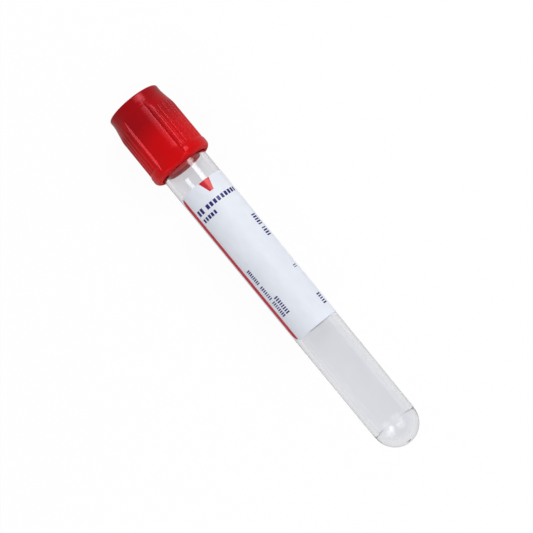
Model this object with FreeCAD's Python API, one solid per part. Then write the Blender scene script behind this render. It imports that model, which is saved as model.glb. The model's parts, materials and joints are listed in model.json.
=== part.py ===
"""Blood collection tube: a clear round-bottomed tube, its label, a rubber stopper and a ribbed shield.

Millimetres. Every piece is drawn upright about the +Z axis, with the tube's outer tip at z = 0, its
mouth upwards, and a smooth panel of the shield facing +X. The assembly is then laid on its side as it
comes to rest: closure towards -X, round end towards +X, on one flat of the shield's collar and on the
shoulder of the round end. The origin is the middle of the footprint on the floor, +Z up.
"""
import FreeCAD
import Part
import math
import os

# Tube: one clear moulding, drafted so that it leaves its core
TUBE_LENGTH = 100.0
MOUTH_RADIUS = 6.5          # outside, at the mouth
BARREL_TAPER = 0.3          # how much narrower the barrel is where the round end begins
TUBE_WALL = 1.2
BASE_WALL = 1.5             # at the tip of the round end
RIM_ROUND = 0.35
MOULD_LINE = 0.05           # step where the round end's insert meets the barrel

# Label: one sheet wrapped round the barrel, leaving a clear window
LABEL_BOTTOM = 37.1         # above the tube's tip
LABEL_LENGTH = 46.0
LABEL_THICKNESS = 0.1
LABEL_GLUE = 0.02
LABEL_START = -68.0         # degrees round from the panel that faces up
LABEL_WRAP = 290.0          # degrees
LABEL_CORNER = 2.0

# Stopper: plug in the tube, flange on its rim, neck through the shield's ring, head above the ring
PLUG_DEPTH = 9.6
PLUG_FIT = 0.03             # radial, in the tube's bore
PLUG_LEAD = 0.6             # chamfer that leads the plug into the mouth
FLANGE_THICKNESS = 2.6
RIM_SEAT = 0.05             # under the flange
NECK_RADIUS = 4.2
HEAD_LIP = 0.8              # how far the head stands out over the neck
HEAD_THICKNESS = 1.8
STOPPER_ROUND = 0.35
CUP_RADIUS = 3.0            # hollow in the underside
CUP_DEPTH = 6.5
DISH_RIM = 1.6              # of the head, round the dish where the needle enters
DISH_DEPTH = 0.9

# Shield: skirt over the tube, ring that traps the stopper, open well above it. Its walls are measured
# out from the skirt's bore
SHIELD_LENGTH = 20.8
SHIELD_RISE = 10.6          # above the tube's mouth
RING_THICKNESS = 1.2
TURN_GAP = 0.1              # all round the stopper, so that the shield turns on it
SKIRT_GAP = 0.3             # radial, between the tube's mouth and the skirt
WELL_STEP = 0.5             # ledge where the well opens out above the stopper's head
TOP_INSET = 0.77            # of the top band, from the ribs
TOP_ROUND = 0.4
BAND_HEIGHT = 2.0           # smooth band below the top, before the flare
FLARE_HEIGHT = 4.2
FLARE_BLEND = 7.0           # radius of the flare's two blends
GRIP_TOP_WALL = 1.52        # over the ribs, below the flare
GRIP_BASE_WALL = 1.56       # over the ribs, above the collar
COLLAR_WALL = 1.76
COLLAR_HEIGHT = 3.1
COLLAR_SHOULDER = 0.6       # height of the slope from the ribs out to the collar
COLLAR_ROUND = 1.45         # of the skirt's lower edge
SKIRT_EDGE = 0.25           # round of the skirt's inner edge
COLLAR_FLAT_WALL = 1.25     # at each of the two flats that stop the tube rolling

# Grip: two smooth panels, and a fan of fluted ribs on each side between them
PANEL_WALL = 0.85
PANEL_HALF_ANGLE = 26.0
PANEL_FOOT = 1.1            # above the collar, where a panel begins to run out onto it
PANEL_RUNOUT_ANGLE = 25.0   # of the run-out's slope, from upright
PANEL_BLEND = 3.0
RIBS_PER_SIDE = 14
RIB_WIDTH = 0.55
RIB_ROUND = 0.15            # of each rib's edges

# Heights
MOUTH = TUBE_LENGTH
SHIELD_TOP = MOUTH + SHIELD_RISE
SHIELD_BASE = SHIELD_TOP - SHIELD_LENGTH
LABEL_TOP = LABEL_BOTTOM + LABEL_LENGTH
PLUG_BASE = MOUTH - PLUG_DEPTH
FLANGE_BASE = MOUTH + RIM_SEAT
FLANGE_TOP = FLANGE_BASE + FLANGE_THICKNESS
RING_BASE = FLANGE_TOP + TURN_GAP
RING_TOP = RING_BASE + RING_THICKNESS
HEAD_BASE = RING_TOP + TURN_GAP
HEAD_TOP = HEAD_BASE + HEAD_THICKNESS
WELL_BASE = HEAD_TOP + TURN_GAP
GRIP_BASE = SHIELD_BASE + COLLAR_HEIGHT
FLARE_TOP = SHIELD_TOP - BAND_HEIGHT
GRIP_TOP = FLARE_TOP - FLARE_HEIGHT

# Radii and rounds that follow from their neighbours
BASE_RADIUS = MOUTH_RADIUS - BARREL_TAPER
HEAD_RADIUS = NECK_RADIUS + HEAD_LIP
DISH_RADIUS = HEAD_RADIUS - DISH_RIM
SKIRT_BORE = MOUTH_RADIUS + SKIRT_GAP
FLANGE_RADIUS = SKIRT_BORE - TURN_GAP
RING_BORE = NECK_RADIUS + TURN_GAP
HEAD_POCKET = HEAD_RADIUS + TURN_GAP
WELL_RADIUS = HEAD_POCKET + WELL_STEP
PANEL_RADIUS = SKIRT_BORE + PANEL_WALL
GRIP_TOP_RADIUS = SKIRT_BORE + GRIP_TOP_WALL
GRIP_BASE_RADIUS = SKIRT_BORE + GRIP_BASE_WALL
TOP_RADIUS = GRIP_TOP_RADIUS - TOP_INSET
COLLAR_RADIUS = SKIRT_BORE + COLLAR_WALL
COLLAR_FLAT = SKIRT_BORE + COLLAR_FLAT_WALL
OUTER_ROUND = min(COLLAR_ROUND, 0.84 * COLLAR_WALL)
INNER_ROUND = min(SKIRT_EDGE, 0.15 * COLLAR_WALL)
TOP_EDGE = min(TOP_ROUND, 0.4 * (TOP_RADIUS - WELL_RADIUS))

# Ribs: each side's fan fills the angle between the panels
RIB_ANGLE = math.degrees(RIB_WIDTH / GRIP_TOP_RADIUS)
RIB_PITCH = (180 - 2 * PANEL_HALF_ANGLE - RIB_ANGLE) / (RIBS_PER_SIDE - 1)
FLUTE_RADIUS = GRIP_TOP_RADIUS * math.radians(RIB_PITCH - RIB_ANGLE) / 2

ORIGIN = FreeCAD.Vector(0, 0, 0)
X_AXIS = FreeCAD.Vector(1, 0, 0)
Y_AXIS = FreeCAD.Vector(0, 1, 0)
Z_AXIS = FreeCAD.Vector(0, 0, 1)
BEYOND = 2.0                # how far a cutter reaches past what it cuts
SAME_POINT = 1e-6


def barrel_radius(z):
    """Outer radius of the drafted barrel at height z."""
    draft = (MOUTH_RADIUS - BASE_RADIUS) / (TUBE_LENGTH - BASE_RADIUS)
    return BASE_RADIUS + draft * (z - BASE_RADIUS)


def bore_radius(z):
    """Inner radius of the barrel at height z."""
    return barrel_radius(z) - TUBE_WALL


def profile(corners):
    """Closed wire in the XZ plane through (r, z) or (r, z, round) corners; a round is a tangent arc."""
    edges = []
    first = last = None
    for i, corner in enumerate(corners):
        here = FreeCAD.Vector(corner[0], 0, corner[1])
        start = end = here
        if len(corner) == 3:
            before = corners[i - 1]
            after = corners[(i + 1) % len(corners)]
            to_before = (FreeCAD.Vector(before[0], 0, before[1]) - here).normalize()
            to_after = (FreeCAD.Vector(after[0], 0, after[1]) - here).normalize()
            half = to_before.getAngle(to_after) / 2
            start = here + to_before * (corner[2] / math.tan(half))
            end = here + to_after * (corner[2] / math.tan(half))
            inward = (to_before + to_after).normalize()
            crown = here + inward * (corner[2] / math.sin(half) - corner[2])
        if last and last.distanceToPoint(start) > SAME_POINT:
            edges.append(Part.LineSegment(last, start).toShape())
        if len(corner) == 3:
            edges.append(Part.Arc(start, crown, end).toShape())
        first = first or start
        last = end
    if last.distanceToPoint(first) > SAME_POINT:
        edges.append(Part.LineSegment(last, first).toShape())
    return Part.Wire(edges)


def revolved(wire, start=0.0, sweep=360.0):
    """Solid of a closed profile turned about the Z axis, from start through sweep degrees."""
    face = Part.Face(wire)
    face.rotate(ORIGIN, Z_AXIS, start)
    return face.revolve(ORIGIN, Z_AXIS, sweep)


def turned(shape, degrees):
    """Copy of a shape turned about the Z axis."""
    copy = shape.copy()
    copy.rotate(ORIGIN, Z_AXIS, degrees)
    return copy


def make_tube():
    """Drafted barrel with a rounded rim, and a round end with a fine mould line above it."""
    dome = BASE_RADIUS - MOULD_LINE
    draft = math.atan2(MOUTH_RADIUS - BASE_RADIUS, TUBE_LENGTH - BASE_RADIUS)
    floor = bore_radius(BASE_WALL)
    return revolved(profile([
        (0, 0),
        (dome, 0, dome),
        (dome, BASE_RADIUS),
        (BASE_RADIUS, BASE_RADIUS),
        (MOUTH_RADIUS, MOUTH, RIM_ROUND),
        (bore_radius(MOUTH), MOUTH, RIM_ROUND),
        (floor, BASE_WALL, floor * math.tan(math.pi / 4 + draft / 2)),
        (0, BASE_WALL),
    ]))


def corner_waste(quadrant, degrees, z):
    """What rounding one corner of the label removes, for a corner circle centred there."""
    reach = LABEL_CORNER * 1.1
    inside = barrel_radius(z) - BEYOND
    waste = Part.makeBox(2 * BEYOND, reach, reach, FreeCAD.Vector(inside, 0, 0))
    kept = Part.makeCylinder(LABEL_CORNER, 2 * BEYOND, FreeCAD.Vector(inside, 0, 0), X_AXIS)
    waste = waste.cut(kept)
    waste.rotate(ORIGIN, X_AXIS, 90 * quadrant)
    waste.translate(FreeCAD.Vector(0, 0, z))
    return turned(waste, degrees)


def make_label():
    """Sheet that follows the barrel's draft, part of the way round, with rounded corners."""
    inner = LABEL_GLUE
    outer = LABEL_GLUE + LABEL_THICKNESS
    sheet = revolved(profile([
        (barrel_radius(LABEL_BOTTOM) + inner, LABEL_BOTTOM),
        (barrel_radius(LABEL_BOTTOM) + outer, LABEL_BOTTOM),
        (barrel_radius(LABEL_TOP) + outer, LABEL_TOP),
        (barrel_radius(LABEL_TOP) + inner, LABEL_TOP),
    ]), LABEL_START, LABEL_WRAP)
    inset = math.degrees(LABEL_CORNER / (barrel_radius(LABEL_TOP) + outer))
    start = LABEL_START + inset
    end = LABEL_START + LABEL_WRAP - inset
    top = LABEL_TOP - LABEL_CORNER
    bottom = LABEL_BOTTOM + LABEL_CORNER
    centres = [(end, top), (start, top), (start, bottom), (end, bottom)]
    return sheet.cut([corner_waste(i, angle, z) for i, (angle, z) in enumerate(centres)])


def make_stopper():
    """Plug that follows the bore, with a cup below, a flange, a neck and a dished head."""
    lead_radius = bore_radius(PLUG_BASE) - PLUG_FIT - PLUG_LEAD
    return revolved(profile([
        (0, PLUG_BASE + CUP_DEPTH),
        (CUP_RADIUS, PLUG_BASE + CUP_DEPTH, CUP_RADIUS / 2),
        (CUP_RADIUS, PLUG_BASE, STOPPER_ROUND),
        (lead_radius, PLUG_BASE),
        (bore_radius(PLUG_BASE + PLUG_LEAD) - PLUG_FIT, PLUG_BASE + PLUG_LEAD),
        (bore_radius(FLANGE_BASE) - PLUG_FIT, FLANGE_BASE),
        (FLANGE_RADIUS, FLANGE_BASE, STOPPER_ROUND),
        (FLANGE_RADIUS, FLANGE_TOP, STOPPER_ROUND),
        (NECK_RADIUS, FLANGE_TOP),
        (NECK_RADIUS, HEAD_BASE),
        (HEAD_RADIUS, HEAD_BASE),
        (HEAD_RADIUS, HEAD_TOP, STOPPER_ROUND),
        (DISH_RADIUS, HEAD_TOP, STOPPER_ROUND),
        (DISH_RADIUS / 2, HEAD_TOP - DISH_DEPTH, DISH_RADIUS / 2),
        (0, HEAD_TOP - DISH_DEPTH),
    ]))


def shield_blank():
    """Shield before its grip is cut: flared outside, with the skirt's bore, the ring, the pocket of the
    stopper's head and the well above it."""
    return revolved(profile([
        (SKIRT_BORE, SHIELD_BASE, INNER_ROUND),
        (COLLAR_RADIUS, SHIELD_BASE, OUTER_ROUND),
        (COLLAR_RADIUS, GRIP_BASE - COLLAR_SHOULDER),
        (GRIP_BASE_RADIUS, GRIP_BASE),
        (GRIP_TOP_RADIUS, GRIP_TOP, FLARE_BLEND),
        (TOP_RADIUS, FLARE_TOP, FLARE_BLEND),
        (TOP_RADIUS, SHIELD_TOP, TOP_EDGE),
        (WELL_RADIUS, SHIELD_TOP, TOP_EDGE),
        (WELL_RADIUS, WELL_BASE),
        (HEAD_POCKET, WELL_BASE),
        (HEAD_POCKET, RING_TOP),
        (RING_BORE, RING_TOP),
        (RING_BORE, RING_BASE),
        (SKIRT_BORE, RING_BASE, INNER_ROUND),
    ]))


def panel_cutters():
    """What the two smooth panels remove: a sunk band that runs out onto the collar at its foot."""
    foot = GRIP_BASE + PANEL_FOOT
    outside = COLLAR_RADIUS + BEYOND
    run = (outside - PANEL_RADIUS) / math.tan(math.radians(PANEL_RUNOUT_ANGLE))
    section = profile([
        (PANEL_RADIUS, SHIELD_TOP + BEYOND),
        (PANEL_RADIUS, foot, PANEL_BLEND),
        (outside, foot - run),
        (outside, SHIELD_TOP + BEYOND),
    ])
    cutter = revolved(section, -PANEL_HALF_ANGLE, 2 * PANEL_HALF_ANGLE)
    return [cutter, turned(cutter, 180)]


def flute_cutters():
    """What leaves the ribs: ball-ended flutes that rise from the collar and run out in the flare."""
    bottom = FreeCAD.Vector(GRIP_TOP_RADIUS, 0, GRIP_BASE + FLUTE_RADIUS)
    shank = Part.makeCylinder(FLUTE_RADIUS, SHIELD_TOP + BEYOND - bottom.z, bottom, Z_AXIS)
    cutter = shank.fuse(Part.makeSphere(FLUTE_RADIUS, bottom))
    first = PANEL_HALF_ANGLE + (RIB_ANGLE + RIB_PITCH) / 2
    angles = [first + i * RIB_PITCH for i in range(RIBS_PER_SIDE - 1)]
    return [turned(cutter, angle + side) for side in (0, 180) for angle in angles]


def rib_edges(shield):
    """Edges of the ribs, where a flute's wall meets the outside."""
    walls = [face for face in shield.Faces if isinstance(face.Surface, (Part.Cylinder, Part.Sphere))
             and abs(face.Surface.Radius - FLUTE_RADIUS) < SAME_POINT]
    edges = [edge for wall in walls for edge in wall.Edges]
    return [edge for edge in edges if sum(edge.isSame(other) for other in edges) == 1]


def collar_flat_cutters():
    """What the two flats remove from the collar, below the panels."""
    size = 2 * (COLLAR_RADIUS + BEYOND)
    corner = FreeCAD.Vector(COLLAR_FLAT, -size / 2, SHIELD_BASE - BEYOND)
    cutter = Part.makeBox(size, size, COLLAR_HEIGHT + PANEL_FOOT + BEYOND, corner)
    return [cutter, turned(cutter, 180)]


def make_shield():
    """Moulded shield: flared blank with two panels, two fans of rounded ribs and two flats on its collar."""
    shield = shield_blank().cut(panel_cutters() + flute_cutters() + collar_flat_cutters())
    return shield.makeFillet(min(RIB_ROUND, 0.4 * RIB_WIDTH), rib_edges(shield))


def resting_placement():
    """Placement that lays the upright assembly on the floor, centred over the origin."""
    across = COLLAR_FLAT - (COLLAR_RADIUS - OUTER_ROUND)
    flat_end = SHIELD_BASE + OUTER_ROUND - math.sqrt(OUTER_ROUND ** 2 - across ** 2)
    lean = math.atan2(COLLAR_FLAT - BASE_RADIUS, flat_end - BASE_RADIUS)
    rim_centre = FreeCAD.Vector(TOP_EDGE - TOP_RADIUS, 0, SHIELD_TOP - TOP_EDGE)
    dome_centre = FreeCAD.Vector(0, 0, BASE_RADIUS - MOULD_LINE)
    laid = FreeCAD.Rotation(Y_AXIS, math.degrees(lean) - 90)
    low_x = laid.multVec(rim_centre).x - TOP_EDGE
    high_x = laid.multVec(dome_centre).x + BASE_RADIUS - MOULD_LINE
    low_z = laid.multVec(FreeCAD.Vector(-BASE_RADIUS, 0, BASE_RADIUS)).z
    return FreeCAD.Placement(FreeCAD.Vector(-(low_x + high_x) / 2, 0, -low_z), laid)


def main():
    """Build every piece upright, lay the assembly down and write one file for each piece."""
    os.makedirs("parts", exist_ok=True)
    placement = resting_placement()
    pieces = {
        "tube": make_tube(),
        "label": make_label(),
        "stopper": make_stopper(),
        "shield": make_shield(),
    }
    for name, piece in pieces.items():
        piece.Placement = placement.multiply(piece.Placement)
        piece.exportStep(f"parts/{name}.step")
        print(f"{name}: {piece.Volume:.1f} mm3, {len(piece.Solids)} solid, {len(piece.Faces)} faces")


main()
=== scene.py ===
"""Blood collection tube lying on its side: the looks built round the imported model.

Every piece is drawn upright in millimetres about the +Z axis, with the tube's outer tip at z = 0, its mouth
upwards and a smooth panel of the shield facing +X. It is then laid into the model's frame, in metres, by one
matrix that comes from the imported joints.
"""

from __future__ import annotations

import json
import logging
import math
import random
from dataclasses import dataclass
from enum import Enum
from typing import Any, Callable, Iterable, Sequence

import bmesh
import bpy
from mathutils import Matrix, Vector

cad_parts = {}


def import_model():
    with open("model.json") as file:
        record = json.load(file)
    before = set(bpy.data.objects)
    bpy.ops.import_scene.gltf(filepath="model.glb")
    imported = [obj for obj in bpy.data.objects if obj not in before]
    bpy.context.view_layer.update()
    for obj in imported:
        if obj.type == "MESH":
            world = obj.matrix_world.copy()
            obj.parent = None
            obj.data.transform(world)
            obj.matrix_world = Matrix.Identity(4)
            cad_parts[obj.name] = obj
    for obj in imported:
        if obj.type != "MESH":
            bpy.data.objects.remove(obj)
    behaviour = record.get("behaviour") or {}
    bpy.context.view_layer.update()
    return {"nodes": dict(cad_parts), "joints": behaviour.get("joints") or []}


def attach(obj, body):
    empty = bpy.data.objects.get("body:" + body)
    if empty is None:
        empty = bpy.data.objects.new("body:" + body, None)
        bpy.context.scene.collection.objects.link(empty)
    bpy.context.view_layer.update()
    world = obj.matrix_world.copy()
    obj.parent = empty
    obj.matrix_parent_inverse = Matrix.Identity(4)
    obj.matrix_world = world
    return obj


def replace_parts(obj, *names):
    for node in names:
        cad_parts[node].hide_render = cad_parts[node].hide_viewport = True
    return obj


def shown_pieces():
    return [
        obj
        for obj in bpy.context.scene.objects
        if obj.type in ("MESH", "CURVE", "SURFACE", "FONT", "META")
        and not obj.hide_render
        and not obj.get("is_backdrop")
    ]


LOG = logging.getLogger("blood_tube")
MM = 0.001
TINY = 1e-6  # lengths below this, in mm, count as nothing
MERGE = 1e-4  # points closer than this, in mm, become one
REST = 0.3  # share of the longest run that is never left over as a run of its own
FLOAT, INTEGER = "NodeSocketFloat", "NodeSocketInt"
GEOMETRY, MATERIAL = "NodeSocketGeometry", "NodeSocketMaterial"

Point = tuple[float, float]
Triple = tuple[float, float, float]
Colour = Triple
Edge = Callable[[float], float]
Shape = tuple[list[Vector], list[list[int]]]


class Side(Enum):
    """Which way a line of print runs on the label."""

    AROUND = "around the barrel"
    ALONG = "along the barrel"


# Node trees ----------------------------------------------------------------------------------------


class Value:
    """A socket on which ordinary arithmetic adds Math nodes."""

    def __init__(self, tree: Tree, socket: bpy.types.NodeSocket) -> None:
        """Wrap an output that gives one number."""
        self.tree = tree
        self.socket = socket

    def _do(self, operation: str, *others: Any) -> Value:
        """Apply one Math operation to this value and the others."""
        return self.tree.math(operation, self, *others)

    def __add__(self, other: Any) -> Value:
        """Sum."""
        return self._do("ADD", other)

    def __sub__(self, other: Any) -> Value:
        """Difference."""
        return self._do("SUBTRACT", other)

    def __rsub__(self, other: Any) -> Value:
        """Difference with this value second."""
        return self.tree.math("SUBTRACT", other, self)

    def __mul__(self, other: Any) -> Value:
        """Product."""
        return self._do("MULTIPLY", other)

    def __truediv__(self, other: Any) -> Value:
        """Quotient."""
        return self._do("DIVIDE", other)

    def __abs__(self) -> Value:
        """Size without sign."""
        return self._do("ABSOLUTE")

    def least(self, other: Any, blend: Any = 0.0) -> Value:
        """Smaller of two values, rounded over a width of blend where they meet."""
        return self._do("SMOOTH_MIN", other, blend)

    def most(self, other: Any, blend: Any = 0.0) -> Value:
        """Larger of two values, rounded over a width of blend where they meet."""
        return self._do("SMOOTH_MAX", other, blend)

    def root(self) -> Value:
        """Square root, of nothing less than zero."""
        return self._do("MAXIMUM", 0.0)._do("SQRT")

    def sine(self) -> Value:
        """Sine of an angle in radians."""
        return self._do("SINE")

    def cosine(self) -> Value:
        """Cosine of an angle in radians."""
        return self._do("COSINE")

    def ramp(self, low: float, high: float) -> Value:
        """This value spread from 0 at low to 1 at high, and held there."""
        node = self.tree.add("ShaderNodeMapRange", {"Value": self, "From Min": low, "From Max": high})
        return Value(self.tree, node.outputs["Result"])


class Tree:
    """A node tree with short ways to add nodes, feed them and write sums."""

    def __init__(self, tree: bpy.types.NodeTree) -> None:
        """Wrap the node tree to fill."""
        self.tree = tree

    def add(self, kind: str, inputs: dict[str, Any] | None = None, **settings: Any) -> bpy.types.Node:
        """Add a node.

        Args:
            kind: Its type name.
            inputs: What feeds its inputs, by their names.
            settings: Its properties.

        Returns:
            The node.
        """
        node = self.tree.nodes.new(kind)
        for name, value in settings.items():
            setattr(node, name, value)
        self.feed(node, inputs or {})
        return node

    def feed(self, node: bpy.types.Node, inputs: dict[str, Any]) -> None:
        """Feed a node's inputs by their names."""
        for name, source in inputs.items():
            self.join(source, node.inputs[name])

    def join(self, source: Any, target: bpy.types.NodeSocket) -> None:
        """Feed an input.

        Args:
            source: A value, a socket or a plain constant.
            target: The input.
        """
        if isinstance(source, Value):
            source = source.socket
        if isinstance(source, bpy.types.NodeSocket):
            self.tree.links.new(source, target)
        else:
            target.default_value = source

    def math(self, operation: str, *values: Any) -> Value:
        """Add a Math node.

        Args:
            operation: Its operation.
            values: Its inputs in order.

        Returns:
            Its result.
        """
        node = self.add("ShaderNodeMath", operation=operation)
        for value, socket in zip(values, node.inputs):
            self.join(value, socket)
        return Value(self, node.outputs[0])

    def take(self, name: str, kind: str, default: Any = None) -> Any:
        """Declare a named input of this group.

        Args:
            name: The input's name.
            kind: Its socket type.
            default: Its starting value.

        Returns:
            The socket inside the group, as a Value if it gives a number.
        """
        item = self.tree.interface.new_socket(name=name, in_out="INPUT", socket_type=kind)
        if default is not None:
            item.default_value = default
        entry = self.tree.nodes.get("entry") or self.add("NodeGroupInput", name="entry")
        socket = entry.outputs[name]
        return Value(self, socket) if kind in (FLOAT, INTEGER) else socket

    def give(self, name: str, kind: str, source: Any) -> None:
        """Declare a named output of this group and feed it.

        Args:
            name: The output's name.
            kind: Its socket type.
            source: What feeds it.
        """
        self.tree.interface.new_socket(name=name, in_out="OUTPUT", socket_type=kind)
        out = self.tree.nodes.get("exit") or self.add("NodeGroupOutput", name="exit")
        self.join(source, out.inputs[name])

    def attribute(self, name: str) -> Value:
        """Number that a mesh stores under a name."""
        return Value(self, self.add("ShaderNodeAttribute", attribute_name=name).outputs["Fac"])

    def surface(self) -> bpy.types.NodeSocket:
        """Object coordinates of the surface, in metres."""
        return self.add("ShaderNodeTexCoord").outputs["Object"]

    def noise(self, where: Any, scale: Any, detail: float = 2.0, stretch: Triple = (1, 1, 1)) -> Value:
        """Noise of a given fineness.

        Args:
            where: Coordinates that it reads.
            scale: Its fineness, in cells to the metre.
            detail: Octaves of finer noise on top.
            stretch: Share of the fineness kept along each axis.

        Returns:
            A value about 0.5.
        """
        mapped = self.add("ShaderNodeMapping", {"Vector": where, "Scale": stretch}).outputs["Vector"]
        node = self.add("ShaderNodeTexNoise", {"Vector": mapped, "Scale": scale, "Detail": detail})
        return Value(self, node.outputs["Fac"])

    def blend(self, share: Any, first: Any, second: Any) -> bpy.types.NodeSocket:
        """Mix two colours.

        Args:
            share: How much of the second, from 0 to 1.
            first: Colour at 0.
            second: Colour at 1.

        Returns:
            The mixed colour.
        """
        node = self.add("ShaderNodeMix", {"Factor": share}, data_type="RGBA")
        for colour, socket in ((first, node.inputs["A"]), (second, node.inputs["B"])):
            self.join(colour if isinstance(colour, bpy.types.NodeSocket) else (*colour, 1), socket)
        return node.outputs["Result"]

    def show(self, share: Any, first: bpy.types.Node, second: bpy.types.Node) -> None:
        """Mix two shaders and put them on the surface.

        Args:
            share: How much of the second, from 0 to 1.
            first: Shader at 0.
            second: Shader at 1.
        """
        mix = self.add("ShaderNodeMixShader")
        for source, socket in zip((share, first.outputs[0], second.outputs[0]), mix.inputs):
            self.join(source, socket)
        self.feed(self.tree.nodes["Material Output"], {"Surface": mix.outputs[0]})

    def place(self) -> tuple[Value, Value, Value]:
        """Each point's x, y and z."""
        position = self.add("GeometryNodeInputPosition").outputs["Position"]
        parts = self.add("ShaderNodeSeparateXYZ", {"Vector": position}).outputs
        return Value(self, parts["X"]), Value(self, parts["Y"]), Value(self, parts["Z"])

    def move(self, shape: Any, x: Value, y: Value, z: Value) -> bpy.types.NodeSocket:
        """Shape with each point moved to its x, y and z."""
        position = self.add("ShaderNodeCombineXYZ", {"X": x, "Y": y, "Z": z}).outputs["Vector"]
        return self.add("GeometryNodeSetPosition", {"Geometry": shape, "Position": position}).outputs[0]

    def finish(self, shape: Any, material: Any) -> None:
        """End the tree with its shape made real and dressed.

        Args:
            shape: The geometry.
            material: The input that gives its material.
        """
        real = self.add("GeometryNodeRealizeInstances", {"Geometry": shape}).outputs[0]
        dress = self.add("GeometryNodeSetMaterial", {"Geometry": real, "Material": material})
        self.give("Geometry", GEOMETRY, dress.outputs[0])


def new_group(name: str, kind: str) -> Tree:
    """Make an empty node group, a ShaderNodeTree or a GeometryNodeTree."""
    return Tree(bpy.data.node_groups.new(name, kind))


# Outlines and meshes -------------------------------------------------------------------------------


def rounded(corners: Sequence[Sequence[float]], turn: float) -> list[Point]:
    """Closed outline through (r, z) or (r, z, round) corners.

    Args:
        corners: The corners in order.
        turn: Largest angle in degrees between one point of a round and the next.

    Returns:
        The outline's points, with the first not repeated.
    """
    points: list[Point] = []
    for i, corner in enumerate(corners):
        here = Vector(corner[:2])
        if len(corner) < 3:
            points.append(tuple(here))
            continue
        before = (Vector(corners[i - 1][:2]) - here).normalized()
        after = (Vector(corners[(i + 1) % len(corners)][:2]) - here).normalized()
        half = before.angle(after) / 2
        centre = here + (before + after).normalized() * (corner[2] / math.sin(half))
        reach = corner[2] / math.tan(half)
        start = here + before * reach - centre
        sweep = start.angle_signed(here + after * reach - centre)
        steps = max(2, math.ceil(abs(math.degrees(sweep)) / turn))
        first = math.atan2(start.y, start.x)
        for k in range(steps + 1):
            angle = first - sweep * k / steps
            points.append((centre.x + corner[2] * math.cos(angle), centre.y + corner[2] * math.sin(angle)))
    return points


def divided(outline: Sequence[Point], longest: Callable[[float, float], float]) -> list[Point]:
    """Outline with its long runs cut into shorter ones.

    Args:
        outline: The points of a closed outline.
        longest: Gives the longest run wanted at a radius and height.

    Returns:
        The outline with more points.
    """
    points: list[Point] = []
    for i, start in enumerate(outline):
        end = outline[(i + 1) % len(outline)]
        here = Vector(start)
        run = Vector(end) - here
        if run.length < TINY:
            continue
        points.append(start)
        travelled = longest(*start)
        while travelled < run.length - REST * longest(*start):
            point = here + run * (travelled / run.length)
            points.append((point.x, point.y))
            travelled += longest(point.x, point.y)
    return points


def lathe(outline: Sequence[Point], angles: Sequence[float]) -> Shape:
    """Turn a closed outline about the Z axis.

    Args:
        outline: Points (r, z) of the outline, where r = 0 makes a pole.
        angles: Angle of each column in radians, once round.

    Returns:
        The points and the faces.
    """
    points: list[Vector] = []
    rings: list[list[int]] = []
    for r, z in outline:
        if r < TINY:
            points.append(Vector((0, 0, z)))
            rings.append([len(points) - 1] * len(angles))
        else:
            rings.append(list(range(len(points), len(points) + len(angles))))
            points += [Vector((r * math.cos(a), r * math.sin(a), z)) for a in angles]
    faces = []
    for i, ring in enumerate(rings):
        above = rings[(i + 1) % len(rings)]
        for k in range(len(angles)):
            n = (k + 1) % len(angles)
            face = [ring[k], ring[n], above[n], above[k]]
            face = [v for j, v in enumerate(face) if v not in face[:j]]
            if len(face) > 2:
                faces.append(face)
    return points, faces


def make_object(name: str, points: Iterable[Vector], faces: Iterable[Sequence[int]]) -> bpy.types.Object:
    """Put a mesh in the scene.

    Args:
        name: The object's name.
        points: Its points.
        faces: Its faces.

    Returns:
        The object, at the origin.
    """
    mesh = bpy.data.meshes.new(name)
    mesh.from_pydata([tuple(p) for p in points], [], [list(f) for f in faces])
    mesh.validate()
    thing = bpy.data.objects.new(name, mesh)
    bpy.context.scene.collection.objects.link(thing)
    return thing


def tidy_mesh(thing: bpy.types.Object, crease: float) -> None:
    """Merge doubles, turn the faces outwards and shade smooth up to an angle.

    Args:
        thing: The object.
        crease: Angle in degrees past which an edge stays sharp.
    """
    bm = bmesh.new()
    bm.from_mesh(thing.data)
    bmesh.ops.remove_doubles(bm, verts=bm.verts, dist=MERGE)
    bmesh.ops.dissolve_degenerate(bm, edges=bm.edges, dist=MERGE / 10)
    bmesh.ops.recalc_face_normals(bm, faces=bm.faces)
    for face in bm.faces:
        face.smooth = True
    for edge in bm.edges:
        edge.smooth = len(edge.link_faces) == 2 and edge.calc_face_angle() < math.radians(crease)
    bm.to_mesh(thing.data)
    bm.free()


def apply_tree(thing: bpy.types.Object, tree: Tree, inputs: dict[str, Any]) -> None:
    """Run a geometry tree on an object and keep the plain mesh that it makes.

    Args:
        thing: The object.
        tree: The geometry tree.
        inputs: Values for its inputs, by their names.
    """
    modifier = thing.modifiers.new("rule", "NODES")
    modifier.node_group = tree.tree
    wanted = dict(inputs)
    for item in tree.tree.interface.items_tree:
        if item.in_out == "INPUT" and item.name in wanted:
            modifier[item.identifier] = wanted.pop(item.name)
    if wanted:
        raise KeyError(f"{tree.tree.name} has no input named {sorted(wanted)}")
    depsgraph = bpy.context.evaluated_depsgraph_get()
    mesh = bpy.data.meshes.new_from_object(thing.evaluated_get(depsgraph), depsgraph=depsgraph)
    thing.modifiers.remove(modifier)
    mesh.name = thing.name
    thing.data = mesh


# Where the drawing lies in the model ---------------------------------------------------------------


@dataclass(frozen=True)
class Stand:
    """Where a camera or a lamp stands: degrees round the axis, degrees of lean to the tip, metres off."""

    round_angle: float
    towards_tip: float
    distance: float


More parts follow.
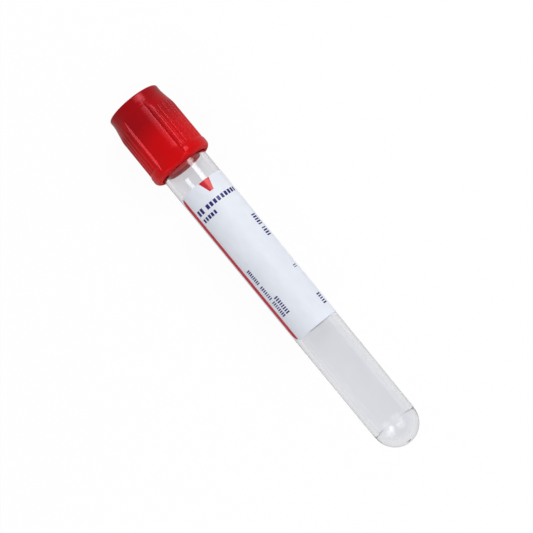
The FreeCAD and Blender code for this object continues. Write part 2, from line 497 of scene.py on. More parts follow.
@dataclass(frozen=True)
class Lie:
    """The upright drawing frame's place in the model's frame."""

    matrix: Matrix

    @classmethod
    def from_joints(cls, joints: Sequence[dict[str, Any]], mouth: float) -> Lie:
        """Read the tube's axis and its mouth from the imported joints.

        Args:
            joints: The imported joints.
            mouth: Height of the mouth in the drawing, in millimetres.

        Returns:
            The lie.
        """
        twist = next(j for j in joints if j["name"] == "shield_twist")
        towards_cap = Vector(twist["axis"]).normalized()
        sideways = Vector((0, 1, 0))
        panel = sideways.cross(towards_cap).normalized()
        turn = Matrix((panel, sideways, towards_cap)).transposed().to_4x4()
        drawn = Matrix.Scale(MM, 4) @ Matrix.Translation((0, 0, -mouth))
        return cls(Matrix.Translation(Vector(twist["pos_m"])) @ turn @ drawn)

    def direction(self, angle: float, towards_tip: float) -> Vector:
        """A direction square to the axis, leaned towards the tip.

        Args:
            angle: Degrees round from the upper panel.
            towards_tip: Degrees of lean.

        Returns:
            The unit direction.
        """
        a, lean = math.radians(angle), math.radians(towards_tip)
        out = Vector((math.cos(a) * math.cos(lean), math.sin(a) * math.cos(lean), -math.sin(lean)))
        return (self.matrix.to_3x3() @ out).normalized()

    def facing(self, stand: Stand, aim_height: float, along_share: float, across_share: float) -> Matrix:
        """Place and turn of something that faces the axis.

        Args:
            stand: Where it stands.
            aim_height: Height of the point that it faces, in millimetres.
            along_share: How far its upward side turns to the closure.
            across_share: How far its upward side turns round the barrel.

        Returns:
            Its matrix.
        """
        back = self.direction(stand.round_angle, stand.towards_tip)
        cap = self.direction(0, -90)
        along = (cap - back * cap.dot(back)).normalized()
        up = (along * along_share + along.cross(back) * across_share).normalized()
        turn = Matrix((up.cross(back), up, back)).transposed().to_4x4()
        return Matrix.Translation(self.matrix @ Vector((0, 0, aim_height)) + back * stand.distance) @ turn

    def settle(self, thing: bpy.types.Object) -> None:
        """Lay an object's upright mesh into the model's frame."""
        thing.data.transform(self.matrix)
        thing.data.update()


# Finishes ------------------------------------------------------------------------------------------


class Effects:
    """Shader groups that more than one finish uses, each built once."""

    def __init__(self) -> None:
        """Build every group."""
        self.moulding = self._moulding()
        self.scuffs = self._scuffs()
        self.stock = self._stock()

    @staticmethod
    def _moulding() -> Tree:
        """Skin of an injection moulding: fine texture, slow flow lines and an uneven tone."""
        group = new_group("moulded_skin", "ShaderNodeTree")
        grain = group.take("Grain", FLOAT, 2600.0)
        flow = group.take("Flow", FLOAT, 260.0)
        flow_share = group.take("Flow share", FLOAT, 0.5)
        where = group.surface()
        fine = group.noise(where, grain, detail=3.0)
        slow = group.noise(where, flow, stretch=(0.12, 1, 1))
        broad = group.noise(where, scale=90.0)
        group.give("Height", FLOAT, fine * (1.0 - flow_share) + slow * flow_share)
        group.give("Tone", FLOAT, (slow * 0.5 + broad * 0.5).ramp(0.35, 0.65))
        return group

    @staticmethod
    def _scuffs() -> Tree:
        """Hairline scuffs of handling, long and thin, in two directions."""
        group = new_group("handling_scuffs", "ShaderNodeTree")
        amount = group.take("Amount", FLOAT, 0.3)
        where = group.surface()
        along = group.noise(where, scale=1500.0, detail=1.0, stretch=(0.03, 1, 1)).ramp(0.66, 0.70)
        across = group.noise(where, scale=1300.0, detail=1.0, stretch=(1, 0.05, 0.05)).ramp(0.68, 0.72)
        patches = group.noise(where, scale=120.0, detail=1.0).ramp(0.45, 0.6)
        group.give("Mask", FLOAT, along.most(across) * patches * amount)
        return group

    @staticmethod
    def _stock() -> Tree:
        """Coated label stock: faint fibres in the tone and a fine tooth in the height."""
        group = new_group("label_stock", "ShaderNodeTree")
        tooth = group.take("Tooth", FLOAT, 5200.0)
        where = group.surface()
        fibres = group.noise(where, scale=900.0, detail=4.0, stretch=(0.4, 1, 1))
        cloud = group.noise(where, scale=110.0)
        group.give("Height", FLOAT, group.noise(where, tooth) * 0.6 + fibres * 0.4)
        group.give("Tone", FLOAT, (fibres * 0.4 + cloud * 0.6).ramp(0.36, 0.64))
        return group


class Finish:
    """What every finish shares: a new material with one Principled shader."""

    @staticmethod
    def start(name: str) -> tuple[bpy.types.Material, Tree, bpy.types.Node]:
        """Begin a material.

        Args:
            name: Its name.

        Returns:
            The material, its tree and its Principled shader.
        """
        material = bpy.data.materials.new(name)
        material.use_nodes = True
        return material, Tree(material.node_tree), material.node_tree.nodes["Principled BSDF"]

    @staticmethod
    def use(tree: Tree, group: Tree, inputs: dict[str, float]) -> bpy.types.NodeOutputs:
        """Place a shared effect in a material's tree, with its values by their names."""
        return tree.add("ShaderNodeGroup", inputs, node_tree=group.tree).outputs

    @staticmethod
    def bump(tree: Tree, height: Any, depth: float, strength: float) -> bpy.types.NodeSocket:
        """Normal of a height from 0 to 1 that stands for a depth in metres, at a share of its bump."""
        values = {"Height": height, "Distance": depth, "Strength": strength}
        return tree.add("ShaderNodeBump", values).outputs["Normal"]


@dataclass(frozen=True)
class ClearPlastic(Finish):
    """Polished clear plastic of the tube."""

    tint: Colour = (0.946, 0.950, 0.974)
    cloud: Colour = (0.921, 0.927, 0.952)
    shadow: Colour = (0.93, 0.93, 0.94)
    index: float = 1.57
    roughness: float = 0.02
    scuffed: float = 0.12

    def material(self, effects: Effects) -> bpy.types.Material:
        """Build the material.

        Args:
            effects: The shared effects.

        Returns:
            The material.
        """
        material, tree, shader = self.start("clear_plastic")
        skin = self.use(tree, effects.moulding, {"Grain": 900.0, "Flow": 150.0, "Flow share": 0.95})
        scuffs = self.use(tree, effects.scuffs, {"Amount": 0.3})
        tree.feed(shader, {
            "Base Color": tree.blend(skin["Tone"], self.cloud, self.tint),
            "Roughness": Value(tree, scuffs["Mask"]) * self.scuffed + self.roughness,
            "IOR": self.index,
            "Transmission Weight": 1.0,
            "Normal": self.bump(tree, skin["Height"], depth=0.00001, strength=0.4),
        })
        clear = tree.add("ShaderNodeBsdfTransparent", {"Color": (*self.shadow, 1)})
        tree.show(tree.add("ShaderNodeLightPath").outputs["Is Shadow Ray"], shader, clear)
        return material


@dataclass(frozen=True)
class ShieldPlastic(Finish):
    """Glossy moulded plastic of the shield, with painted shade that darkens it towards the top."""

    colour: Colour = (0.64, 0.0003, 0.0008)
    # painted shade: the darker red that the shield turns towards its top, which the random tone also leans to
    deep_tone_and_painted_shade: Colour = (0.305, 0.0002, 0.0020)
    crest: Colour = (0.72, 0.002, 0.004)
    gloss: Colour = (1.0, 0.2, 0.25)
    crest_share: float = 0.15
    tone_share: float = 0.08
    roughness: float = 0.16
    scuffed: float = 0.18
    rubbed: float = -0.04
    uneven: float = 0.05
    satin: float = 0.4

    # where each change runs, in shares of the shield's height
    # painted shade darkens the red over these two spans of height, most at the top
    painted_shade_rise: Point = (0.24, 0.66)
    painted_shade_drift_rise: Point = (-0.3, 1.6)
    satin_rise: Point = (0.03, 0.01)

    def material(self, effects: Effects) -> bpy.types.Material:
        """Build the material.

        Args:
            effects: The shared effects.

        Returns:
            The material.
        """
        material, tree, shader = self.start("shield_plastic")
        skin = self.use(tree, effects.moulding, {"Grain": 2400.0, "Flow": 420.0, "Flow share": 0.6})
        scuffs = self.use(tree, effects.scuffs, {"Amount": 0.25})
        crest, rise, tone = tree.attribute("rib_crest"), tree.attribute("rise"), Value(tree, skin["Tone"])
        # painted shade: the red darkens towards the top of the shield
        painted_shade_share = rise.ramp(*self.painted_shade_rise).most(rise.ramp(*self.painted_shade_drift_rise))
        body = tree.blend(painted_shade_share, self.colour, self.deep_tone_and_painted_shade)
        body = tree.blend(tone * self.tone_share, body, self.deep_tone_and_painted_shade)
        worn = Value(tree, scuffs["Mask"]) * self.scuffed + crest * self.rubbed
        satin = rise.ramp(*self.satin_rise) * self.satin
        tree.feed(shader, {
            "Base Color": tree.blend(crest * self.crest_share, body, self.crest),
            "Roughness": worn + tone * self.uneven + satin + self.roughness,
            "IOR": 1.5,
            "Specular IOR Level": 0.6,
            "Specular Tint": (*self.gloss, 1),
            "Normal": self.bump(tree, skin["Height"], depth=0.00003, strength=0.25),
        })
        return material


@dataclass(frozen=True)
class StopperRubber(Finish):
    """Matt rubber of the stopper."""

    colour: Colour = (0.70, 0.001, 0.006)
    bloom: Colour = (0.74, 0.005, 0.012)
    roughness: float = 0.65
    scuffed: float = 0.2

    def material(self, effects: Effects) -> bpy.types.Material:
        """Build the material.

        Args:
            effects: The shared effects.

        Returns:
            The material.
        """
        material, tree, shader = self.start("stopper_rubber")
        skin = self.use(tree, effects.moulding, {"Grain": 3400.0, "Flow": 500.0, "Flow share": 0.2})
        scuffs = self.use(tree, effects.scuffs, {"Amount": 0.5})
        tree.feed(shader, {
            "Base Color": tree.blend(skin["Tone"], self.colour, self.bloom),
            "Roughness": Value(tree, scuffs["Mask"]) * self.scuffed + self.roughness,
            "Specular IOR Level": 0.02,
            "Normal": self.bump(tree, skin["Height"], depth=0.00006, strength=0.8),
        })
        return material


@dataclass(frozen=True)
class LabelStock(Finish):
    """White coated stock of the label, which lets a little light through."""

    white: Colour = (0.755, 0.785, 0.86)
    shade: Colour = (0.715, 0.745, 0.825)
    roughness: float = 0.42
    uneven: float = 0.08

    def material(self, effects: Effects) -> bpy.types.Material:
        """Build the material.

        Args:
            effects: The shared effects.

        Returns:
            The material.
        """
        material, tree, shader = self.start("label_stock")
        stock = self.use(tree, effects.stock, {})
        tree.feed(shader, {
            "Base Color": tree.blend(stock["Tone"], self.shade, self.white),
            "Roughness": Value(tree, stock["Tone"]) * self.uneven + self.roughness,
            "Specular IOR Level": 0.35,
            "Subsurface Weight": 0.35,
            "Subsurface Radius": (1.0, 1.0, 1.0),
            "Subsurface Scale": 0.0002,
            "Normal": self.bump(tree, stock["Height"], depth=0.00002, strength=0.4),
        })
        return material


@dataclass(frozen=True)
class PrintInk(Finish):
    """One colour of printing ink, thin enough that the stock's tooth shows through."""

    name: str
    colour: Colour
    thin: Colour
    level: float = 0.35
    gloss: Colour = (1.0, 1.0, 1.0)
    roughness: float = 0.16
    uneven: float = 0.08

    def material(self, effects: Effects) -> bpy.types.Material:
        """Build the material.

        Args:
            effects: The shared effects.

        Returns:
            The material.
        """
        material, tree, shader = self.start(self.name)
        stock = self.use(tree, effects.stock, {"Tooth": 7000.0})
        worn = Value(tree, stock["Height"]).ramp(0.4, 0.7)
        tree.feed(shader, {
            "Base Color": tree.blend(worn, self.colour, self.thin),
            "Roughness": Value(tree, stock["Tone"]) * self.uneven + self.roughness,
            "Specular IOR Level": self.level,
            "Specular Tint": (*self.gloss, 1),
            "Normal": self.bump(tree, stock["Height"], depth=0.00002, strength=0.25),
        })
        return material


RED_INK = PrintInk("red_ink", (0.50, 0.002, 0.022), (0.54, 0.006, 0.032), 0.8, (1.0, 0.5, 0.4))
NAVY_INK = PrintInk("navy_ink", (0.020, 0.012, 0.14), (0.05, 0.04, 0.19))


# Pieces --------------------------------------------------------------------------------------------


@dataclass
class Tube:
    """Clear tube: drafted barrel, rounded rim, round end with its mould line and gate mark."""

    length: float = 100.0
    mouth_radius: float = 6.5
    base_radius: float = 6.2
    wall: float = 1.2
    base_wall: float = 1.5
    rim_round: float = 0.35
    mould_line: float = 0.09
    line_half_height: float = 0.06
    line_foot: float = 0.3
    gate_radius: float = 0.6
    gate_depth: float = 0.02
    gate_slope: float = 0.2
    gate_round: float = 0.08
    columns: int = 192
    dome_step: int = 3
    longest_turn: float = 4.0
    longest_run: float = 2.5

    def barrel(self, height: float) -> float:
        """Outer radius of the drafted barrel at a height."""
        draft = (self.mouth_radius - self.base_radius) / (self.length - self.base_radius)
        return self.base_radius + draft * (height - self.base_radius)

    def outline(self) -> list[Point]:
        """Outline of half the tube's section."""
        dome = self.base_radius - self.mould_line
        lean = math.atan2(self.mouth_radius - self.base_radius, self.length - self.base_radius)
        floor = self.barrel(self.base_wall) - self.wall
        gate = dome - math.sqrt(dome ** 2 - self.gate_radius ** 2)
        below, above = self.base_radius - self.line_half_height, self.base_radius + self.line_half_height
        foot = self.base_radius + self.line_foot
        corners = [
            (0, gate + self.gate_depth),
            (self.gate_radius - self.gate_slope, gate + self.gate_depth, self.gate_round),
            (self.gate_radius, gate),
        ]
        corners += [
            (dome * math.sin(a), dome - dome * math.cos(a))
            for a in (math.radians(d) for d in range(3 * self.dome_step, 90, self.dome_step))
        ]
        corners += [
            (dome, below),
            (self.barrel(above), above),
            (self.barrel(foot), foot),
            (self.mouth_radius, self.length, self.rim_round),
            (self.mouth_radius - self.wall, self.length, self.rim_round),
            (floor, self.base_wall, floor * math.tan(math.pi / 4 + lean / 2)),
            (0, self.base_wall),
        ]
        return divided(rounded(corners, self.longest_turn), lambda r, z: self.longest_run)

    def build(self, lie: Lie, material: bpy.types.Material) -> bpy.types.Object:
        """Make the tube.

        Args:
            lie: Where it lies.
            material: Its finish.

        Returns:
            The tube, in the model's frame.
        """
        angles = [2 * math.pi * k / self.columns for k in range(self.columns)]
        thing = make_object("clear_tube", *lathe(self.outline(), angles))
        tidy_mesh(thing, crease=25.0)
        thing.data.materials.append(material)
        lie.settle(thing)
        return thing


@dataclass
class Shield:
    """Moulded shield: flared outside with two panels and two fans of ribs, and an open well."""

    base: float = 89.8
    top: float = 110.6
    skirt_bore: float = 6.8
    skirt_edge: float = 0.25
    ring_base: float = 102.75
    ring_top: float = 103.95
    ring_bore: float = 4.3
    head_pocket: float = 5.1
    well_base: float = 105.95
    well_radius: float = 5.6
    top_radius: float = 7.55
    top_round: float = 0.4
    band: float = 2.0
    flare: float = 4.2
    flare_blend: float = 7.0
    crest_top: float = 8.32
    crest_base: float = 8.36
    collar_radius: float = 8.56
    collar_height: float = 3.1
    collar_shoulder: float = 0.6
    collar_round: float = 1.45
    shoulder_round: float = 0.5
    collar_flat: float = 8.05
    flat_lift: float = 0.2
    flat_blend: float = 3.0
    panel_radius: float = 7.65
    panel_half_angle: float = 26.0
    panel_foot: float = 1.2
    panel_slope: float = 14.0
    panel_head: float = 1.2
    head_slope: float = 0.4
    side_slope: float = 1.8
    panel_blend: float = 0.3
    ribs: int = 14
    rib_width: float = 0.55
    edge_blend: float = 0.25
    flute_share: float = 0.36
    wall_slope: float = 3.0
    end_slope: float = 6.0

    # where a crest's mark fades in: by the depth cut off it, above the grip's base, and above a panel
    crest_cut: Point = (-0.12, 0.0)
    crest_start: Point = (-0.3, 0.1)
    crest_proud: Point = (0.0, 0.3)

    # how finely the blank is divided
    longest_turn: float = 11.0
    inside_run: float = 2.5
    plain_run: float = 0.5
    foot_run: float = 0.12
    grip_run: float = 0.8
    head_run: float = 0.17
    foot_margin: float = 0.6
    flare_margin: float = 0.4
    head_margin: float = 0.3
    panel_columns: int = 9
    side_step: float = 0.25
    side_columns: tuple[int, int] = (-7, 6)
    half_flute: tuple[float, ...] = (0.0, 0.28, 0.53, 0.72, 0.86, 0.95, 1.01, 1.08)
    half_rib: tuple[float, ...] = (0.25, 0.6)
    closest: float = 0.12

    @property
    def grip_base(self) -> float:
        """Height where the ribs start."""
        return self.base + self.collar_height

    @property
    def flare_top(self) -> float:
        """Height where the flare ends and the plain band starts."""
        return self.top - self.band

    @property
    def rib_angle(self) -> float:
        """Angle of one rib in degrees."""
        return math.degrees(self.rib_width / self.crest_top)

    @property
    def pitch(self) -> float:
        """Angle from one rib to the next in degrees."""
        return (180 - 2 * self.panel_half_angle - self.rib_angle) / (self.ribs - 1)

    @property
    def flute(self) -> float:
        """Radius of the flutes between the ribs."""
        return self.crest_top * math.radians(self.pitch - self.rib_angle) / 2

    @property
    def first_flute(self) -> float:
        """Angle of the first flute's middle from the panel's middle, in degrees."""
        return self.panel_half_angle + (self.rib_angle + self.pitch) / 2

    def outline(self) -> list[Point]:
        """Outline of half the section before its grip is formed."""
        corners = [
            (self.skirt_bore, self.base, self.skirt_edge),
            (self.collar_radius, self.base, self.collar_round),
            (self.collar_radius, self.grip_base - self.collar_shoulder, self.shoulder_round),
            (self.crest_base, self.grip_base, self.shoulder_round),
            (self.crest_top, self.flare_top - self.flare, self.flare_blend),
            (self.top_radius, self.flare_top, self.flare_blend),
            (self.top_radius, self.top, self.top_round),
            (self.well_radius, self.top, self.top_round),
            (self.well_radius, self.well_base),
            (self.head_pocket, self.well_base),
            (self.head_pocket, self.ring_top),
            (self.ring_bore, self.ring_top),
            (self.ring_bore, self.ring_base),
            (self.skirt_bore, self.ring_base, self.skirt_edge),
        ]
        return divided(rounded(corners, self.longest_turn), self.longest)

    def longest(self, r: float, z: float) -> float:
        """Longest run wanted in the outline.

        Args:
            r: Radius of the place.
            z: Height of the place.

        Returns:
            The run, short where the panels' feet and heads run out.
        """
        if r < self.panel_radius - self.flare_margin:
            return self.inside_run
        runs = (
            (self.grip_base - self.collar_shoulder, self.plain_run),
            (self.grip_base + self.panel_foot + self.foot_margin, self.foot_run),
            (self.flare_top - self.flare - self.flare_margin, self.grip_run),
            (self.flare_top + self.head_margin, self.head_run),
        )
        return next((run for top, run in runs if z < top), self.plain_run)

    def columns(self) -> list[float]:
        """Angle of each column in radians, close together where a flute meets a rib."""
        edge = self.panel_half_angle
        quarter = {edge * k / self.panel_columns for k in range(self.panel_columns)}
        quarter |= {edge + self.side_step * k for k in range(*self.side_columns)}
        half = math.degrees(math.asin(self.flute / self.crest_top))
        offsets = [half * share for share in self.half_flute]
        rest = self.pitch / 2 - offsets[-1]
        offsets += [offsets[-1] + rest * share for share in self.half_rib] + [self.pitch / 2]
        for i in range(self.ribs - 1):
            middle = self.first_flute + i * self.pitch
            if middle > 90 + self.pitch:
                break
            quarter |= {round(middle + side * o, 6) for o in offsets for side in (-1, 1)}
        spread: list[float] = []
        for a in sorted(a for a in quarter if 0 <= a <= 90 + MERGE):
            if not spread or a - spread[-1] > self.closest:
                spread.append(a)
        spread[-1] = 90.0
        whole = spread + [180 - a for a in spread[-2::-1]]
        whole += [180 + a for a in whole[1:-1]]
        return [math.radians(a) for a in whole]

    def grip_sizes(self) -> dict[str, float]:
        """Every size of the grip's tree, by its input's name and in order."""
        return {
            "Crest radius": self.crest_top,
            "Flute radius": self.flute,
            "Flute depth share": self.flute_share,
            "First flute": math.radians(self.first_flute),
            "Rib pitch": math.radians(self.pitch),
            "Grip base": self.grip_base,
            "Panel radius": self.panel_radius,
            "Panel half angle": math.radians(self.panel_half_angle),
            "Panel foot": self.grip_base + self.panel_foot,
            "Panel slope": math.tan(math.radians(self.panel_slope)),
            "Panel head": self.flare_top - self.panel_head,
            "Collar flat": self.collar_flat,
            "Edge blend": self.edge_blend,
        }

    def grip_tree(self) -> Tree:
        """Geometry tree that forms the panels, the flutes and the collar's flats on a turned blank."""
        tree = new_group("ribbed_grip", "GeometryNodeTree")
        shape = tree.take("Geometry", GEOMETRY)
        crest, flute, depth, first, pitch, grip_base, panel, half_angle, foot, slope, head, flat, blend = (
            tree.take(name, FLOAT, size) for name, size in self.grip_sizes().items()
        )
        finish = tree.take("Finish", MATERIAL)
        x, y, z = tree.place()
        radius = (x * x + y * y).root()
        angle = tree.math("ARCTAN2", abs(y), abs(x))

        # panels: sunk bands whose feet run out onto the collar, with rounded sides
        run_out = ((foot - z) * slope).most(0.0, self.panel_blend)
        side = ((angle - half_angle) * crest * self.side_slope).most(0.0, blend)
        panels = panel + run_out + side + ((z - head) * self.head_slope).most(0.0, self.panel_blend)

        # flutes: ball-ended hollows, evenly spaced over each side
        turn = tree.math("WRAP", angle - first, pitch * 0.5, pitch * -0.5)
        off = abs(turn.sine() * crest)
        below = (grip_base + flute - z).most(0.0)
        reach = (flute * flute - below * below).root()
        hollow = (reach * reach - off * off).root() * depth
        beside = (off - reach).most(0.0) * self.wall_slope
        under = (grip_base - z).most(0.0) * self.wall_slope
        beyond = (first - pitch * 0.5 - angle).most(0.0) * crest * self.end_slope
        flutes = crest - hollow + beside + under + beyond

        # flats: straight faces below the panels
        flats = flat / angle.cosine().most(self.flat_lift)

        fluted = radius.least(flutes, blend)
        formed = fluted.least(panels, blend).least(flats, blend * self.flat_blend)
        share = formed / radius

        # for the finish: where a crest is left whole, and how high each point lies
        uncut = (formed - radius).ramp(*self.crest_cut) * (z - grip_base).ramp(*self.crest_start)
        crests = uncut * (radius - panel).ramp(*self.crest_proud)
        for name, value in (("rib_crest", crests), ("rise", z.ramp(self.base, self.top))):
            inputs = {"Geometry": shape, "Name": name, "Value": value}
            keep = tree.add("GeometryNodeStoreNamedAttribute", inputs, data_type="FLOAT", domain="POINT")
            shape = keep.outputs["Geometry"]
        tree.finish(tree.move(shape, x * share, y * share, z), finish)
        return tree

    def build(self, lie: Lie, material: bpy.types.Material) -> bpy.types.Object:
        """Make the shield.

        Args:
            lie: Where it lies.
            material: Its finish.

        Returns:
            The shield, in the model's frame.
        """
        thing = make_object("ribbed_shield", *lathe(self.outline(), self.columns()))
        apply_tree(thing, self.grip_tree(), {**self.grip_sizes(), "Finish": material})
        tidy_mesh(thing, crease=55.0)
        lie.settle(thing)
        return thing


@dataclass(frozen=True)
class Line:
    """One line of print, drawn as a row of plain strokes."""

    start: float
    end: float
    low: float
    high: float
    strokes: int
    way: Side = Side.AROUND
    weight: float = 0.67


@dataclass
class Label:
    """Wrapped label with rounded corners, its red edge line, fill mark and rows of plain strokes.

    The artwork is drawn flat, with x in millimetres round the barrel from the upper panel and y the height
    above the tube's tip, and then wrapped.
    """

    bottom: float = 37.1
    length: float = 46.0
    thickness: float = 0.1
    glue: float = 0.02
    start: float = -68.0
    wrap: float = 290.0
    corner: float = 2.0
    corner_step: int = 9
    radius: float = 6.5
    columns: int = 110
    rows: int = 24
    ink: float = 0.012
    weld: float = 0.001
    line_sides: Point = (0.85, 2.4)
    line_gap: float = 0.4
    line_corner: float = 0.05
    line_bulge: float = 1.35
    line_columns: int = 14
    mark_top_gap: float = 0.12
    mark_low: float = 79.75
    mark_wide: Point = (9.0, 37.5)
    mark_narrow: Point = (18.5, 29.0)
    mark_tip: float = 0.001
    mark_columns: int = 40
    seed: int = 11
    uneven: float = 0.09
    stroke_steps: int = 9
    lines: tuple[Line, ...] = (
        Line(-4.62, -2.15, 76.45, 78.0, 2),
        Line(-1.35, 9.3, 76.5, 77.75, 9),
        Line(-4.55, 0.45, 74.4, 75.5, 5),
        Line(43.9, 48.6, -4.2, -3.1, 8, Side.ALONG, 0.53),
        Line(49.2, 53.4, -4.2, -3.1, 7, Side.ALONG, 0.53),
        Line(54.1, 58.6, -4.2, -3.1, 8, Side.ALONG, 0.53),
        Line(43.9, 49.2, -2.7, -1.55, 8, Side.ALONG, 0.56),
        Line(62.1, 65.0, 7.2, 9.2, 4, Side.ALONG, 0.55),
        Line(65.6, 69.2, 7.2, 9.2, 5, Side.ALONG, 0.55),
        Line(51.7, 52.8, 7.4, 9.0, 2, Side.ALONG, 0.45),
        Line(40.1, 43.5, 7.4, 9.2, 5, Side.ALONG, 0.55),
    )

    @property
    def top(self) -> float:
        """Height of the label's upper edge."""
        return self.bottom + self.length

    def flat(self, degrees: float) -> float:
        """Place on the flat artwork of an angle round the barrel."""
        return math.radians(degrees) * self.radius

    @staticmethod
    def patch(places: Sequence[float], low: Edge, high: Edge, rows: int = 1) -> Shape:
        """Flat patch in columns, each from its own low to its own high.

        Args:
            places: Where each column line lies.
            low: Lower edge at a place.
            high: Upper edge at a place.
            rows: How many faces a column has.

        Returns:
            The points and the faces.
        """
        points, faces = [], []
        for x in places:
            points += [Vector((x, low(x) + (high(x) - low(x)) * k / rows, 0)) for k in range(rows + 1)]
        for i in range(len(places) - 1):
            for k in range(rows):
                a, b = i * (rows + 1) + k, (i + 1) * (rows + 1) + k
                faces.append([a, b, b + 1, a + 1])
        return points, faces

    @staticmethod
    def spaced(left: float, right: float, count: int) -> list[float]:
        """Even places from left to right, a count of steps apart."""
        return [left + (right - left) * i / count for i in range(count + 1)]

    def sheet(self) -> Shape:
        """Flat outline of the sheet with rounded corners, in columns that crowd into the corners."""
        left, right = self.flat(self.start), self.flat(self.start + self.wrap)
        turns = [math.radians(a) for a in range(0, 90 + 1, self.corner_step)]
        inset = [self.corner * (1 - math.cos(a)) for a in turns]
        middle = self.spaced(left + self.corner, right - self.corner, self.columns)[1:-1]
        places = [left + i for i in inset] + middle + [right - i for i in reversed(inset)]

        def cut(x: float) -> float:
            """How far a corner cuts into the sheet at a place."""
            near = max(0.0, self.corner - min(x - left, right - x))
            return self.corner - math.sqrt(max(0.0, self.corner ** 2 - near ** 2))

        return self.patch(places, lambda x: self.bottom + cut(x), lambda x: self.top - cut(x), self.rows)

    def edge_line(self) -> Shape:
        """Flat red line inside the label's first edge, whose ends follow the rounded corners."""
        left, right = (self.flat(self.start) + side for side in self.line_sides)
        corner = right - left + self.line_corner

        def cut(x: float) -> float:
            """How far the line stops short of the label's ends at a place."""
            near = max(0.0, corner - (x - left))
            return self.line_gap + self.line_bulge * (corner - math.sqrt(max(0.0, corner ** 2 - near ** 2)))

        places = self.spaced(left, right, self.line_columns)
        return self.patch(places, lambda x: self.bottom + cut(x), lambda x: self.top - cut(x))

    def fill_mark(self) -> Shape:
        """Flat red wedge that points at the fill height."""
        top = self.top - self.mark_top_gap
        left, right = (self.flat(a) for a in self.mark_wide)
        low_left, low_right = (self.flat(a) for a in self.mark_narrow)

        def edge(x: float) -> float:
            """Lower edge of the wedge at a place."""
            share = min(1.0, (x - left) / (low_left - left), (right - x) / (right - low_right))
            return top - (top - self.mark_low) * share

        return self.patch(self.spaced(left, right, self.mark_columns), edge, lambda x: top + self.mark_tip)

    def strokes(self) -> tuple[list[Vector], list[Vector]]:
        """Middle on the flat artwork, and size, of every stroke of print."""
        chance = random.Random(self.seed)
        middles, sizes = [], []
        for line in self.lines:
            pitch = (line.end - line.start) / line.strokes
            for k in range(line.strokes):
                wide = pitch * chance.uniform(line.weight - self.uneven, line.weight + self.uneven)
                middle = (line.start + pitch * (k + 0.5), (line.low + line.high) / 2)
                size = (wide, line.high - line.low)
                if line.way is Side.ALONG:
                    middle, size = middle[::-1], size[::-1]
                middles.append(Vector((*middle, 0)))
                sizes.append(Vector((*size, 1)))
        return middles, sizes

    def wrapping(self, tube: Tube) -> Tree:
        """Geometry group that wraps flat artwork round the drafted barrel.

        Args:
            tube: The tube that carries the label.

        Returns:
            The group's tree.
        """
        group = new_group("wrap_round_barrel", "GeometryNodeTree")
        shape = group.take("Geometry", GEOMETRY)
        lift = group.take("Lift", FLOAT, self.glue)
        unit = group.take("Artwork radius", FLOAT, self.radius)
        narrow = group.take("Barrel radius at tip", FLOAT, tube.barrel(0.0))
        draft = group.take("Draft", FLOAT, tube.barrel(1.0) - tube.barrel(0.0))
        x, y, _ = group.place()
        radius = narrow + draft * y + lift
        angle = x / unit
        wrapped = group.move(shape, radius * angle.cosine(), radius * angle.sine(), y)
        group.give("Geometry", GEOMETRY, wrapped)
        return group

    def film_tree(self, wrapping: Tree, repeated: bool) -> Tree:
        """Geometry tree that makes a wrapped film with a thickness.

        Args:
            wrapping: The wrapping group.
            repeated: True to put a stroke of its stored size on every point of the artwork first.

        Returns:
            The tree.
        """
        tree = new_group("printed_strokes" if repeated else "wrapped_film", "GeometryNodeTree")
        shape = tree.take("Geometry", GEOMETRY)
        lift = tree.take("Lift", FLOAT, self.glue)
        thickness = tree.take("Thickness", FLOAT, self.thickness)
        finish = tree.take("Finish", MATERIAL)
        if repeated:
            steps = tree.take("Steps in a stroke", INTEGER, self.stroke_steps)
            stroke = tree.add(
                "GeometryNodeMeshGrid", {"Size X": 1.0, "Size Y": 1.0, "Vertices X": steps, "Vertices Y": 2}
            ).outputs["Mesh"]
            size = tree.add(
                "GeometryNodeInputNamedAttribute", {"Name": "stroke_size"}, data_type="FLOAT_VECTOR"
            ).outputs["Attribute"]
            placed = tree.add(
                "GeometryNodeInstanceOnPoints", {"Points": shape, "Instance": stroke, "Scale": size}
            ).outputs["Instances"]
            shape = tree.add("GeometryNodeRealizeInstances", {"Geometry": placed}).outputs["Geometry"]
        inputs = {"Geometry": shape, "Lift": lift}
        under = tree.add("GeometryNodeGroup", inputs, node_tree=wrapping.tree).outputs["Geometry"]
        inputs = {"Mesh": under, "Offset Scale": thickness, "Individual": False}
        raised = tree.add("GeometryNodeExtrudeMesh", inputs, mode="FACES").outputs["Mesh"]
        both = tree.add("GeometryNodeJoinGeometry", {"Geometry": raised})
        tree.feed(both, {"Geometry": tree.add("GeometryNodeFlipFaces", {"Mesh": under}).outputs["Mesh"]})
        inputs = {"Geometry": both.outputs["Geometry"], "Distance": self.weld}
        tree.finish(tree.add("GeometryNodeMergeByDistance", inputs).outputs["Geometry"], finish)
        return tree

